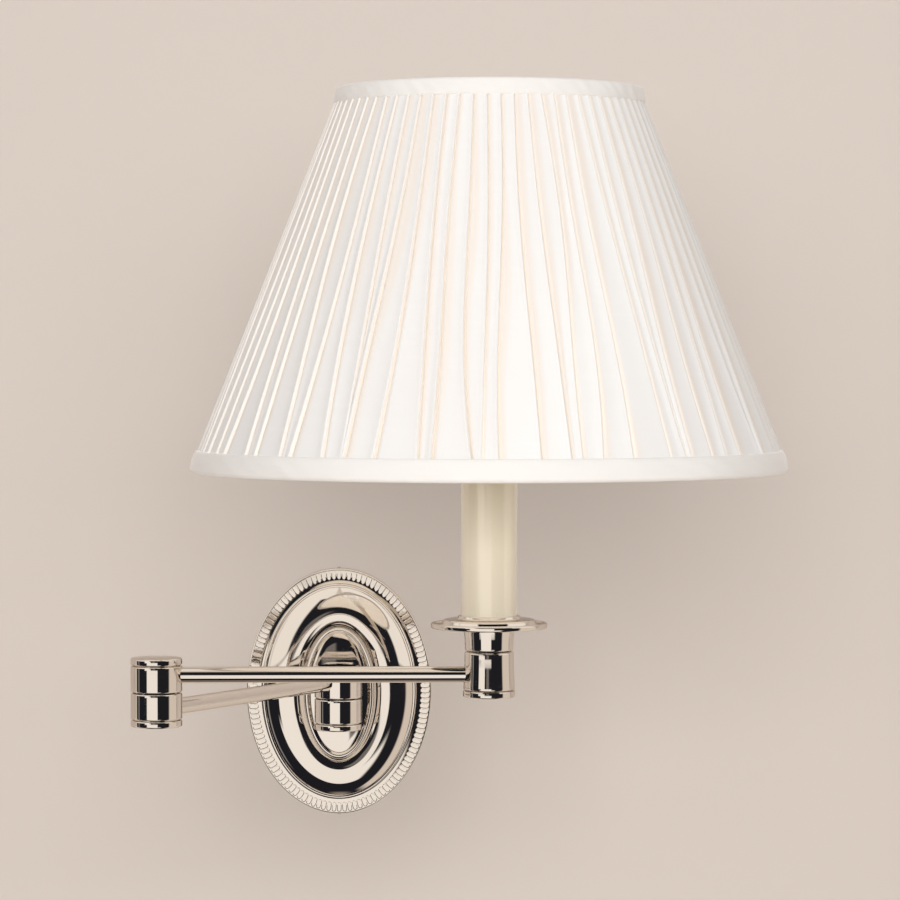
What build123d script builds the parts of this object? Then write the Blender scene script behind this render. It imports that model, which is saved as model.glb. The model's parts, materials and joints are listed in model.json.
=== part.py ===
from build123d import *
import os
from math import asin, atan2, cos, degrees, radians, sin

# Swing-arm wall light with a pleated empire shade, in millimetres.
# The wall is the plane y = 0, the light stands out toward -Y, +X is right and +Z is up.
# The origin is the centre of the back plate, on the wall.

# Fits
press = 0.02              # gap round a pressed, threaded or brazed piece
running = 0.05            # gap round and under a turning piece
slack = 0.1               # gap round cloth, wires and loosely seated pieces

# Arms
arm_length = 168.0        # pivot axis to pivot axis, the same on both arms
pivot_standoff = 43.0     # wall to the axis of the wall pivot
lower_arm_turn = 32.4     # degrees from straight out, toward -X
upper_arm_heading = 0.0   # degrees from +X
wall_swing = 85.0         # degrees each way from straight out
elbow_swing = 130.0       # degrees each way from a straight arm
tube_radius = 4.15
tube_wall = 1.0

# Knuckles of the two pivots, each split at mid height
knuckle_radius = 13.0
knuckle_half = 17.4       # split plane to end face
knuckle_wall = 3.0
knuckle_web = 3.4
split_gap = 0.6
split_chamfer = 0.4
cap_height = 3.6
cap_line = 0.35           # open line under each cap
cap_line_depth = 0.6
cap_spigot = 1.6
cap_round = 0.8

# Hardware inside a pivot
spindle_radius = 4.5
spindle_bore = 2.5
spindle_head_radius = 6.5
spindle_head = 1.5
washer_radius = 7.5
spring_washer_height = 0.5
spindle_nut_flats = 12.0
spindle_nut_height = 1.5
stop_pin_radius = 1.25
stop_pin_depth = 2.0      # into each half
stop_pin_headroom = 0.3
stop_clearance = 0.5      # degrees left at each end of the groove

# Flex held inside the arms
flex_radius = 1.3
flex_pivot_bend = 5.5
flex_lamp_bend = 8.0
flex_wall_bend = 8.0

# Back plate: four-arc oval with mouldings that follow its edge
plate_half_width = 51.5
plate_half_height = 68.5
plate_end_radius = 40.0
plate_wall = 1.0
rim_height = 4.6
rim_land = 1.1
reed_width = 5.6
reed_crest = 7.2
cove_start = 6.2
cove_width = 2.6
cove_hollow = 0.27        # how far the cove bows in, as a share of its rise and width
bead_start = 8.2
bead_width = 1.7
bead_crest = 8.9
dome_width = 20.3
dome_crest = 15.0
dome_crest_share = 0.45   # crest's place across the dome
dome_foot = 12.0          # where the dome meets the boss
valley_wall = 1.5         # sheet's depth in that corner, in wall thicknesses
boss_slope_width = 4.7
face_height = 18.5

# Wall bracket and terminals behind the plate
strap_width = 16.0
strap_thickness = 1.5
tab_gap = 0.3             # tab's corners to the inside of the plate's rim
tab_thickness = 3.0
tab_height = 3.5
box_screw_spacing = 50.8  # wall box centres
box_screw_radius = 2.5
wire_hole_radius = 6.0
grub_radius = 1.0
grub_height = 1.9         # above the wall
grub_length = 4.5
grub_proud = 0.5
earth_place = 45.0
earth_radius = 1.9
earth_head_radius = 3.5
earth_head = 2.0
block_size = (18.0, 12.0, 9.0)
block_place = -40.0
block_screw_radius = 1.5
block_screw_depth = 2.5
block_screw_spacing = 9.0
flex_exit_height = 6.5    # above the wall, where the flex leaves the block

# Stem between the plate and the wall pivot
stem_radius = 4.9
stem_bore = 3.0
stem_flange_radius = 9.0
stem_flange = 2.5
stem_washer_height = 1.0
stem_nut_flats = 15.0
stem_nut_height = 4.0
stem_tail = 1.5           # thread left behind the nut

# Lamp knuckle, cup and drip pan
lamp_radius = 13.2
lamp_waist = 12.2
lamp_wall = 3.2
lamp_below_tube = 11.4    # upper tube's axis to the bottom of the cap
lamp_body_height = 19.7
lamp_web = 3.5
cup_height = 11.1
cup_foot_radius = 12.4
cup_groove = 0.5
pan_radius = 29.3
pan_rim_width = 1.0
pan_rim_bottom = 1.1      # heights above the cup
pan_rim_top = 3.1
pan_floor = 2.6
pan_step = 4.9
pan_step_radius = 23.4
pan_collar = 6.9
pan_collar_wall = 1.2
pan_seat = 4.5
pan_hub_radius = 16.0
pan_sheet = 1.2

# Nipple, candle tube and lampholder
nipple_radius = 5.0
nipple_bore = 3.5
nipple_nut_flats = 14.0
nipple_nut_height = 3.0
candle_radius = 14.25
candle_wall = 1.25
candle_length = 92.4
holder_play = 0.4         # holder to the inside of the candle tube
holder_sunk = 42.0        # holder's base below the candle's top
holder_proud = 5.0
holder_wall = 2.6
holder_floor = 16.0
holder_thread = 4.5       # nipple thread in the holder's floor
holder_wire_bore = 3.0
shell_radius = 7.3        # inside of the E14 screw shell
shell_wall = 0.6
shell_flange = 1.0
shell_height = 28.0
contact_radius = 3.0
contact_height = 7.8
bulb_cap_radius = 7.0
bulb_cap_wall = 0.5
bulb_cap_height = 24.0
bulb_gap = 0.3            # bulb's tip to the contact
bulb_radius = 17.5
bulb_length = 76.0
bulb_belly = 28.0         # height of the widest place
bulb_tip_radius = 2.0
bulb_swell = 0.8          # share of the widening reached on the way up to the belly
bulb_swell_height = 0.45
bulb_taper = 0.72         # share of the belly left on the way up to the tip
bulb_taper_height = 0.57
bulb_wall = 1.0

# Shade carrier and clamp ring
wire_radius = 1.5
carrier_wire_count = 3
carrier_foot_height = 1.2
carrier_foot_radius = 18.5
carrier_foot_wire = 16.6  # radius where the wires stand on the foot
carrier_spread = 27.0     # radius of the wires round the bulb
carrier_rise = 6.0        # straight above the foot
carrier_flare = 14.0      # height over which the wires spread
carrier_bend = 5.0
carrier_ring_half = 2.5   # half width of the ring at the top
carrier_ring_height = 2.5
clamp_radius = 14.7
clamp_height = 3.5

# Shade: a cone of knife pleats between two bands
shade_lift = 79.5         # drip pan's seat on the cup to the shade's lower edge
shade_height = 193.2
shade_base_radius = 150.5
shade_mouth_radius = 77.2
lower_band = 11.1
upper_band = 8.3
lower_band_lean = 2.9     # how far each band draws in over its height
upper_band_lean = 0.9
pleat_tuck = 0.6          # pleats' folds inside the lower band's top edge
pleat_lap = 0.4           # pleats' folds outside the upper band's lower edge
pleat_count = 74
pleat_step = 0.14         # share of a pleat taken by its folded edge
pleat_valley = 0.980      # radii as shares of the crest's
pleat_backing = 0.965
skirt_backing = 0.967
skirt_share = 0.977
skirt_inset = 0.6         # cover's hem inside each band
base_ring_wire = 2.0
mouth_ring_wire = 1.5
base_ring_height = 3.9    # above the lower edge
mouth_ring_depth = 3.8    # below the upper edge
strut_radius = 1.2
strut_count = 6
lining_thickness = 0.6
facet_count = 6           # flat strips between one strut and the next
lining_gap = 0.6          # lining's edges to the rings
spider_arm_count = 3
spider_drop = 18.0        # hub below the mouth ring
spider_level = 9.0        # level run beside the hub
spider_reach = 13.0       # level run beside the mouth ring
spider_bend = 6.0

# Places worked out from the sizes above
cavity_radius = knuckle_radius - knuckle_wall
tube_offset = knuckle_half / 2
web_face = split_gap / 2 + knuckle_web
body_end = knuckle_half - cap_height
pin_circle = (washer_radius + knuckle_radius) / 2
elbow_split = 2 * tube_offset
upper_tube_z = elbow_split + tube_offset
spindle_end = web_face + running + spring_washer_height + spindle_nut_height

straight_out = -90.0
lower_arm_heading = straight_out - lower_arm_turn
wall_frame = Pos(0, -pivot_standoff, 0)
lower_frame = wall_frame * Rot(0, 0, lower_arm_heading)
elbow_frame = lower_frame * Pos(arm_length, 0, elbow_split)
upper_frame = Pos(elbow_frame.position) * Rot(0, 0, upper_arm_heading)
lamp_place = (upper_frame * Pos(arm_length, 0, 0)).position
lamp_frame = Pos(lamp_place.X, lamp_place.Y, 0)
on_wall = Rot(90, 0, 0)   # x right, y up, z out from the wall

lamp_base = upper_tube_z - lamp_below_tube
lamp_line = lamp_base + cap_height
lamp_top = lamp_line + lamp_body_height
cup_top = lamp_top + cup_height
candle_seat = cup_top + pan_seat
candle_top = candle_seat + candle_length
holder_radius = candle_radius - candle_wall - holder_play
holder_base = candle_top - holder_sunk
holder_deck = holder_base + holder_floor
contact_top = holder_deck + contact_height
bulb_base = contact_top + bulb_gap
glass_base = bulb_base + bulb_cap_height

shade_bottom = cup_top + shade_lift
shade_top = shade_bottom + shade_height
lower_band_top_radius = shade_base_radius - lower_band_lean
upper_band_foot_radius = shade_mouth_radius + upper_band_lean
pleat_base_radius = lower_band_top_radius - pleat_tuck
pleat_top_radius = upper_band_foot_radius + pleat_lap
pleat_base = shade_bottom + lower_band
pleat_top = shade_top - upper_band
pleat_taper = (pleat_base_radius - pleat_top_radius) / (pleat_top - pleat_base)
base_ring_z = shade_bottom + base_ring_height
mouth_ring_z = shade_top - mouth_ring_depth
hub_height = 2 * wire_radius + slack
hub_base = mouth_ring_z - spider_drop - wire_radius
carrier_top = hub_base

nodes = {}


# Plain shapes
def disc(radius, bottom, top):
    standing = (Align.CENTER, Align.CENTER, Align.MIN)
    return Pos(0, 0, bottom) * Cylinder(radius, top - bottom, align=standing)


def ring(inner, outer, bottom, top):
    return disc(outer, bottom, top) - disc(inner, bottom, top)


def rod_along_x(radius, start, end, height):
    return Pos(start, 0, height) * Rot(0, 90, 0) * disc(radius, 0, end - start)


def turned(*curves):
    edges = [edge for curve in curves for edge in curve.edges()]
    return revolve(Plane.XZ * make_face(edges), Axis.Z)


def turned_points(*points):
    return turned(Polyline(*points, close=True))


def hex_nut(flats, hole, bottom, height):
    blank = extrude(RegularPolygon(flats / 2, 6, major_radius=False), height)
    return Pos(0, 0, bottom) * blank - disc(hole, bottom, bottom + height)


def wire_along(points, bend, radius):
    path = FilletPolyline(*points, radius=bend)
    section = Plane(origin=path @ 0, z_dir=path % 0) * Circle(radius)
    return sweep(section, path=path)


def around(shape, count):
    return [Rot(0, 0, 360 * turn / count) * shape for turn in range(count)]


# Pivot knuckles, about the pivot's axis with the split plane at z = 0
def knuckle_cup(side, hole):
    outline = [
        (hole, split_gap / 2),
        (knuckle_radius - split_chamfer, split_gap / 2),
        (knuckle_radius, split_gap / 2 + split_chamfer),
        (knuckle_radius, body_end),
        (cavity_radius, body_end),
        (cavity_radius, web_face),
        (hole, web_face),
    ]
    return turned_points(*[(radius, side * height) for radius, height in outline])


def side_hole(side, radius, heading):
    drill = rod_along_x(radius + press, cavity_radius / 2, knuckle_radius + knuckle_wall, side * tube_offset)
    return Rot(0, 0, heading) * drill


def stop_pin(heading):
    half = split_gap / 2 + stop_pin_depth
    return Rot(0, 0, heading) * Pos(pin_circle, 0, 0) * disc(stop_pin_radius, -half, half)


def stop_hole(heading):
    half = split_gap / 2 + stop_pin_depth
    return Rot(0, 0, heading) * Pos(pin_circle, 0, 0) * disc(stop_pin_radius + press, -half, 0)


def stop_groove(pin_heading, lowest_turn, highest_turn):
    margin = degrees(asin(stop_pin_radius / pin_circle)) + stop_clearance
    width = 2 * (stop_pin_radius + running)
    depth = split_gap / 2 + stop_pin_depth + stop_pin_headroom
    section = Plane.XZ * Pos(pin_circle, depth / 2) * Rectangle(width, depth)
    groove = revolve(section, Axis.Z, highest_turn - lowest_turn + 2 * margin)
    return Rot(0, 0, pin_heading - highest_turn - margin) * groove


def knuckle_cap(side):
    neck = knuckle_radius - cap_line_depth
    spigot = cavity_radius - running
    outline = [
        (0, knuckle_half),
        (knuckle_radius, knuckle_half),
        (knuckle_radius, body_end + cap_line),
        (neck, body_end + cap_line),
        (neck, body_end),
        (spigot, body_end),
        (spigot, body_end - cap_spigot),
        (0, body_end - cap_spigot),
    ]
    cap = turned_points(*[(radius, side * height) for radius, height in outline])
    rim = cap.edges().group_by(Axis.Z)[-1 if side > 0 else 0]
    return fillet(rim, cap_round)


def spindle():
    return turned_points(
        (spindle_bore, -web_face - spindle_head),
        (spindle_head_radius, -web_face - spindle_head),
        (spindle_head_radius, -web_face),
        (spindle_radius, -web_face),
        (spindle_radius, spindle_end),
        (spindle_bore, spindle_end),
    )


def friction_washer():
    return ring(spindle_radius + press, washer_radius, -split_gap / 2, split_gap / 2 - running)


def spring_washer():
    bottom = web_face + running
    return ring(spindle_radius + press, washer_radius, bottom, bottom + spring_washer_height)


def spindle_nut():
    bottom = spindle_end - spindle_nut_height
    return hex_nut(spindle_nut_flats, spindle_radius + press, bottom, spindle_nut_height)


def add_pivot_hardware(prefix, frame, pin_heading):
    nodes[prefix + "_bottom_cap"] = frame * knuckle_cap(-1)
    nodes[prefix + "_spindle"] = frame * spindle()
    nodes[prefix + "_friction_washer"] = frame * friction_washer()
    nodes[prefix + "_spring_washer"] = frame * spring_washer()
    nodes[prefix + "_spindle_nut"] = frame * spindle_nut()
    nodes[prefix + "_stop_pin"] = frame * stop_pin(pin_heading)
    nodes[prefix + "_top_cap"] = frame * knuckle_cap(1)


# Back plate, in the wall's own x, y and height above the wall
end_centre = plate_half_height - plate_end_radius
width_over_end = plate_half_width - plate_end_radius
side_centre = (end_centre**2 - width_over_end**2) / (2 * width_over_end)
side_radius = plate_half_width + side_centre
join_angle = degrees(atan2(end_centre, side_centre))
plate_arcs = [
    ((0, end_centre), plate_end_radius, join_angle, 180 - 2 * join_angle),
    ((side_centre, 0), side_radius, 180 - join_angle, 2 * join_angle),
    ((0, -end_centre), plate_end_radius, 180 + join_angle, 180 - 2 * join_angle),
    ((-side_centre, 0), side_radius, -join_angle, 2 * join_angle),
]


def oval(inset):
    edges = [CenterArc(centre, radius - inset, start, arc) for centre, radius, start, arc in plate_arcs]
    return make_face(edges)


plate_face_inset = rim_land + reed_width + cove_width + bead_width + dome_width + boss_slope_width


def plate_section(radius):
    """Section of the plate's sheet, with its edge at the given radius."""
    cove = rim_land + reed_width
    bead = cove + cove_width
    dome = bead + bead_width
    boss = dome + dome_width
    crest = dome + dome_crest_share * dome_width
    cove_depth = cove_start + cove_hollow * (bead_start - cove_start)

    def spot(inset, height):
        return (radius - inset, height)

    rim = spot(0, rim_height)
    reed_foot = spot(rim_land, rim_height)
    reed_top = spot(rim_land + reed_width / 2, reed_crest)
    cove_foot = spot(cove, cove_start)
    cove_middle = spot(cove + (1 - cove_hollow) * cove_width, cove_depth)
    bead_foot = spot(bead, bead_start)
    bead_top = spot(bead + bead_width / 2, bead_crest)
    dome_rim = spot(dome, bead_start)
    dome_top = spot(crest, dome_crest)
    boss_foot = spot(boss, dome_foot)
    face = spot(plate_face_inset, face_height)
    outside = [
        Polyline(spot(0, 0), rim, reed_foot),
        ThreePointArc(reed_foot, reed_top, cove_foot),
        ThreePointArc(cove_foot, cove_middle, bead_foot),
        ThreePointArc(bead_foot, bead_top, dome_rim),
        ThreePointArc(dome_rim, dome_top, boss_foot),
        Line(boss_foot, face),
    ]

    face_back = spot(plate_face_inset, face_height - plate_wall)
    boss_back = spot(boss, dome_foot - valley_wall * plate_wall)
    dome_back = spot(crest, dome_crest - plate_wall)
    dome_rim_back = spot(dome + plate_wall, bead_start - plate_wall)
    cove_back = spot(cove + plate_wall, cove_start - plate_wall)
    reed_back = spot(rim_land + plate_wall, rim_height - plate_wall / 2)
    rim_back = spot(plate_wall, rim_height - plate_wall)
    inside = [
        Polyline(face, face_back, boss_back),
        ThreePointArc(boss_back, dome_back, dome_rim_back),
        Polyline(dome_rim_back, cove_back, reed_back, rim_back, spot(plate_wall, 0), spot(0, 0)),
    ]
    edges = [edge for curve in outside + inside for edge in curve.edges()]
    return Plane.XZ * make_face(edges)


def back_plate():
    sheet_floor = face_height - plate_wall
    plate = Pos(0, 0, sheet_floor) * extrude(oval(plate_face_inset), plate_wall)
    for (x, y), radius, start, arc in plate_arcs:
        plate += Pos(x, y, 0) * Rot(0, 0, start) * revolve(plate_section(radius), Axis.Z, arc)
    plate -= Pos(0, -tube_offset, 0) * disc(stem_radius + press, 0, 2 * face_height)
    plate -= grub_screw(grub_radius + press)
    plate -= mirror(grub_screw(grub_radius + press), Plane.XZ)
    return plate


# Bracket, terminals and screws behind the plate
rim_inside = plate_end_radius - plate_wall
tab_end = end_centre + (rim_inside**2 - (strap_width / 2) ** 2) ** 0.5 - tab_gap


def grub_screw(radius):
    tip = plate_half_height + grub_proud - grub_length
    return Pos(0, tip, grub_height) * Rot(-90, 0, 0) * disc(radius, 0, grub_length)


def wall_bracket():
    flat = (Align.CENTER, Align.CENTER, Align.MIN)
    outer = (Align.CENTER, Align.MAX, Align.MIN)
    strap = Box(strap_width, 2 * tab_end, strap_thickness, align=flat)
    tab = Pos(0, tab_end, 0) * Box(strap_width, tab_thickness, tab_height, align=outer)
    strap += tab
    strap += mirror(tab, Plane.XZ)
    strap -= grub_screw(grub_radius + press)
    strap -= mirror(grub_screw(grub_radius + press), Plane.XZ)
    for place in (-box_screw_spacing / 2, box_screw_spacing / 2):
        strap -= Pos(0, place, 0) * disc(box_screw_radius, 0, strap_thickness)
    strap -= disc(wire_hole_radius, 0, strap_thickness)
    strap -= Pos(0, earth_place, 0) * disc(earth_radius + press, 0, strap_thickness)
    return strap


def earth_screw():
    shank = disc(earth_radius, 0, strap_thickness)
    head = disc(earth_head_radius, strap_thickness, strap_thickness + earth_head)
    return Pos(0, earth_place, 0) * (shank + head)


block_top = strap_thickness + block_size[2]
block_screws = [-block_screw_spacing / 2, block_screw_spacing / 2]


def terminal_block():
    flat = (Align.CENTER, Align.CENTER, Align.MIN)
    block = Pos(0, block_place, strap_thickness) * Box(*block_size, align=flat)
    pocket = disc(block_screw_radius + press, block_top - block_screw_depth, block_top)
    for x in block_screws:
        block -= Pos(x, block_place, 0) * pocket
    return block


def terminal_screws():
    screw = disc(block_screw_radius, block_top - block_screw_depth, block_top - slack)
    return Compound([Pos(x, block_place, 0) * screw for x in block_screws])


def pivot_stem():
    plate_back = face_height - plate_wall
    rear = plate_back - stem_washer_height - stem_nut_height - stem_tail
    stem = disc(stem_radius, rear, pivot_standoff - cavity_radius)
    stem += disc(stem_flange_radius, face_height, face_height + stem_flange)
    return stem - disc(stem_bore, rear, pivot_standoff)


def add_wall_side():
    plate_back = face_height - plate_wall
    nut_top = plate_back - stem_washer_height
    stem_axis = Pos(0, -tube_offset, 0)
    washer = ring(stem_radius + press, stem_flange_radius, nut_top, plate_back)
    nut = hex_nut(stem_nut_flats, stem_radius + press, nut_top - stem_nut_height, stem_nut_height)
    grubs = Compound([grub_screw(grub_radius), mirror(grub_screw(grub_radius), Plane.XZ)])
    nodes["wall_bracket"] = on_wall * wall_bracket()
    nodes["back_plate"] = on_wall * back_plate()
    nodes["plate_grub_screws"] = on_wall * grubs
    nodes["terminal_block"] = on_wall * terminal_block()
    nodes["terminal_screws"] = on_wall * terminal_screws()
    nodes["earth_screw"] = on_wall * earth_screw()
    nodes["pivot_stem"] = on_wall * stem_axis * pivot_stem()
    nodes["stem_washer"] = on_wall * stem_axis * washer
    nodes["stem_nut"] = on_wall * stem_axis * nut


# Flex, in three lengths that meet on the pivots' axes
def add_flex():
    block_edge = block_place + block_size[1] / 2
    wall_route = [
        (0, -flex_exit_height, block_edge),
        (0, -flex_exit_height, -tube_offset),
        (0, -pivot_standoff, -tube_offset),
        (0, -pivot_standoff, 0),
    ]
    lower_route = [
        (0, 0, 0),
        (0, 0, tube_offset),
        (arm_length, 0, tube_offset),
        (arm_length, 0, elbow_split),
    ]
    upper_route = [
        (0, 0, 0),
        (0, 0, tube_offset),
        (arm_length, 0, tube_offset),
        (arm_length, 0, holder_deck - elbow_split),
    ]
    wall_bends = [flex_wall_bend, flex_pivot_bend]
    lower_bends = [flex_pivot_bend, flex_pivot_bend]
    upper_bends = [flex_pivot_bend, flex_lamp_bend]
    nodes["wall_flex"] = wire_along(wall_route, wall_bends, flex_radius)
    nodes["lower_arm_flex"] = lower_frame * wire_along(lower_route, lower_bends, flex_radius)
    nodes["upper_arm_flex"] = upper_frame * wire_along(upper_route, upper_bends, flex_radius)


# The two pivots and the arm tubes
def add_pivots():
    to_wall = 90.0
    back_along_arm = 180.0
    wall_low = straight_out - wall_swing - lower_arm_heading
    wall_high = straight_out + wall_swing - lower_arm_heading
    rest_bend = upper_arm_heading - lower_arm_heading
    elbow_low = -elbow_swing - rest_bend
    elbow_high = elbow_swing - rest_bend

    base = knuckle_cup(-1, spindle_radius + press)
    base -= side_hole(-1, stem_radius, to_wall)
    base -= stop_hole(straight_out)
    top = knuckle_cup(1, spindle_radius + running)
    top -= side_hole(1, tube_radius, lower_arm_heading)
    top -= stop_groove(straight_out, wall_low, wall_high)
    nodes["wall_knuckle_base"] = wall_frame * base
    nodes["wall_knuckle_top"] = wall_frame * top
    add_pivot_hardware("wall", wall_frame, straight_out)

    elbow_here = Pos(elbow_frame.position)
    lower = knuckle_cup(-1, spindle_radius + press)
    lower -= side_hole(-1, tube_radius, lower_arm_heading + back_along_arm)
    lower -= stop_hole(lower_arm_heading)
    upper = knuckle_cup(1, spindle_radius + running)
    upper -= side_hole(1, tube_radius, upper_arm_heading)
    upper -= stop_groove(lower_arm_heading, elbow_low, elbow_high)
    nodes["elbow_knuckle_lower"] = elbow_here * lower
    nodes["elbow_knuckle_upper"] = elbow_here * upper
    add_pivot_hardware("elbow", elbow_here, lower_arm_heading)


def arm_tube(end):
    outside = rod_along_x(tube_radius, cavity_radius, end, tube_offset)
    return outside - rod_along_x(tube_radius - tube_wall, cavity_radius, end, tube_offset)


def add_arm_tubes():
    nodes["lower_arm_tube"] = lower_frame * arm_tube(arm_length - cavity_radius)
    nodes["upper_arm_tube"] = upper_frame * arm_tube(arm_length - (lamp_radius - lamp_wall))


# Lamp knuckle, cup, drip pan and nipple, about the lamp's axis
lamp_cavity = lamp_radius - lamp_wall
lamp_deck = lamp_top - lamp_web


def lamp_knuckle():
    hole = nipple_radius + press
    foot = (lamp_radius, lamp_line)
    waist = (lamp_waist, (lamp_line + lamp_top) / 2)
    shoulder = (cup_foot_radius, lamp_top - cup_groove)
    shell = turned(
        ThreePointArc(foot, waist, shoulder),
        Polyline(
            shoulder,
            (cup_foot_radius - cup_groove, lamp_top),
            (hole, lamp_top),
            (hole, lamp_deck),
            (lamp_cavity, lamp_deck),
            (lamp_cavity, lamp_line),
            foot,
        ),
    )
    entry = rod_along_x(tube_radius + press, lamp_cavity / 2, lamp_radius + lamp_wall, upper_tube_z)
    return shell - Rot(0, 0, upper_arm_heading + 180) * entry


def lamp_bottom_cap():
    neck = lamp_radius - cap_line_depth
    spigot = lamp_cavity - running
    cap = turned_points(
        (0, lamp_base),
        (lamp_radius, lamp_base),
        (lamp_radius, lamp_line - cap_line),
        (neck, lamp_line - cap_line),
        (neck, lamp_line),
        (spigot, lamp_line),
        (spigot, lamp_line + cap_spigot),
        (0, lamp_line + cap_spigot),
    )
    return fillet(cap.edges().group_by(Axis.Z)[0], cap_round)


def candle_cup():
    return turned_points(
        (nipple_radius + press, lamp_top),
        (cup_foot_radius - cup_groove, lamp_top),
        (cup_foot_radius, lamp_top + cup_groove),
        (lamp_radius, cup_top),
        (nipple_radius + press, cup_top),
    )


def drip_pan():
    collar_bore = candle_radius + slack
    collar_radius = collar_bore + pan_collar_wall
    rim_bore = pan_radius - pan_rim_width
    return turned_points(
        (nipple_radius + press, cup_top),
        (pan_hub_radius, cup_top),
        (pan_hub_radius, cup_top + pan_step - pan_sheet),
        (pan_step_radius - pan_sheet, cup_top + pan_step - pan_sheet),
        (pan_step_radius - pan_sheet, cup_top + pan_floor - pan_sheet),
        (rim_bore, cup_top + pan_rim_bottom),
        (pan_radius, cup_top + pan_rim_bottom),
        (pan_radius, cup_top + pan_rim_top),
        (rim_bore, cup_top + pan_rim_top),
        (rim_bore, cup_top + pan_floor),
        (pan_step_radius, cup_top + pan_floor),
        (pan_step_radius, cup_top + pan_step),
        (collar_radius, cup_top + pan_step),
        (collar_radius, cup_top + pan_collar),
        (collar_bore, cup_top + pan_collar),
        (collar_bore, candle_seat),
        (nipple_radius + press, candle_seat),
    )


def nipple_nuts():
    hole = nipple_radius + press
    lower = hex_nut(nipple_nut_flats, hole, lamp_deck - nipple_nut_height, nipple_nut_height)
    upper = hex_nut(nipple_nut_flats, hole, candle_seat, nipple_nut_height)
    return Compound([lower, upper])


def add_lamp_end():
    nodes["lamp_knuckle"] = lamp_frame * lamp_knuckle()
    nodes["lamp_bottom_cap"] = lamp_frame * lamp_bottom_cap()
    nodes["candle_cup"] = lamp_frame * candle_cup()
    nodes["drip_pan"] = lamp_frame * drip_pan()
    nipple = ring(nipple_bore, nipple_radius, lamp_deck - nipple_nut_height, holder_base + holder_thread)
    candle = ring(candle_radius - candle_wall, candle_radius, candle_seat, candle_top)
    nodes["lamp_nipple"] = lamp_frame * nipple
    nodes["nipple_nuts"] = lamp_frame * nipple_nuts()
    nodes["candle_tube"] = lamp_frame * candle


# Lampholder and bulb
def lampholder_body():
    thread_top = holder_base + holder_thread
    holder_top = candle_top + holder_proud
    return turned_points(
        (nipple_radius + press, holder_base),
        (holder_radius, holder_base),
        (holder_radius, holder_top),
        (holder_radius - holder_wall, holder_top),
        (holder_radius - holder_wall, holder_deck),
        (holder_wire_bore, holder_deck),
        (holder_wire_bore, thread_top + press),
        (nipple_radius + press, thread_top + press),
    )


def lampholder_shell():
    return turned_points(
        (contact_radius + bulb_gap, holder_deck),
        (holder_radius - holder_wall - running, holder_deck),
        (holder_radius - holder_wall - running, holder_deck + shell_flange),
        (shell_radius + shell_wall, holder_deck + shell_flange),
        (shell_radius + shell_wall, holder_deck + shell_height),
        (shell_radius, holder_deck + shell_height),
        (shell_radius, holder_deck + shell_flange),
        (contact_radius + bulb_gap, holder_deck + shell_flange),
    )


def bulb_cap():
    outside = disc(bulb_cap_radius, bulb_base, glass_base)
    return outside - disc(bulb_cap_radius - bulb_cap_wall, bulb_base + 2 * bulb_cap_wall, glass_base)


def bulb_outline(inset):
    belly = glass_base + bulb_belly
    tip = glass_base + bulb_length - inset
    neck_radius = bulb_cap_radius - bulb_cap_wall - inset
    belly_radius = bulb_radius - inset
    neck = (neck_radius, glass_base)
    widest = (belly_radius, belly)
    end = (bulb_tip_radius, tip)
    swelling = neck_radius + bulb_swell * (belly_radius - neck_radius)
    rise = (swelling, glass_base + bulb_swell_height * bulb_belly)
    fall = (bulb_taper * belly_radius, belly + bulb_taper_height * (tip - belly))
    return [
        ThreePointArc(neck, rise, widest),
        ThreePointArc(widest, fall, end),
        Polyline(end, (0, tip), (0, glass_base), neck),
    ]


def bulb_glass():
    return turned(*bulb_outline(0)) - turned(*bulb_outline(bulb_wall))


def add_lampholder():
    nodes["lampholder_body"] = lamp_frame * lampholder_body()
    nodes["lampholder_shell"] = lamp_frame * lampholder_shell()
    nodes["lampholder_contact"] = lamp_frame * disc(contact_radius, holder_deck, contact_top)
    nodes["bulb_cap"] = lamp_frame * bulb_cap()
    nodes["bulb_glass"] = lamp_frame * bulb_glass()


# Wire carrier that holds the shade, and the ring that clamps it to the lampholder
def shade_carrier():
    foot_top = candle_top + carrier_foot_height
    foot = ring(holder_radius + running, carrier_foot_radius, candle_top, foot_top)
    ring_base = carrier_top - carrier_ring_height
    wire = wire_along(
        [
            (carrier_foot_wire, 0, candle_top + carrier_foot_height / 2),
            (carrier_foot_wire, 0, foot_top + carrier_rise),
            (carrier_spread, 0, foot_top + carrier_rise + carrier_flare),
            (carrier_spread, 0, ring_base + carrier_ring_height / 2),
        ],
        [carrier_bend, carrier_bend],
        wire_radius,
    )
    top = ring(carrier_spread - carrier_ring_half, carrier_spread + carrier_ring_half, ring_base, carrier_top)
    return foot + around(wire, carrier_wire_count) + top


def add_carrier():
    clamp_base = candle_top + carrier_foot_height
    nodes["shade_carrier"] = lamp_frame * shade_carrier()
    nodes["shade_clamp_ring"] = lamp_frame * ring(
        holder_radius + running, clamp_radius, clamp_base, clamp_base + clamp_height
    )


def polygon_at(height, sides, radius):
    return Pos(0, 0, height) * RegularPolygon(radius, sides)


def frustum(sides, bottom, bottom_radius, top, top_radius):
    return loft([polygon_at(bottom, sides, bottom_radius), polygon_at(top, sides, top_radius)], ruled=True)


# Shade frame
def cone_radius(height, share):
    return share * (pleat_base_radius - pleat_taper * (height - pleat_base))


slope_stretch = (1 + pleat_taper**2) ** 0.5
base_ring_radius = cone_radius(base_ring_z, pleat_backing) - base_ring_wire * slope_stretch - slack
mouth_ring_radius = cone_radius(mouth_ring_z, pleat_backing) - mouth_ring_wire * slope_stretch - slack


def ring_wire(radius, wire, height):
    return Pos(0, 0, height) * Torus(radius, wire)


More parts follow.
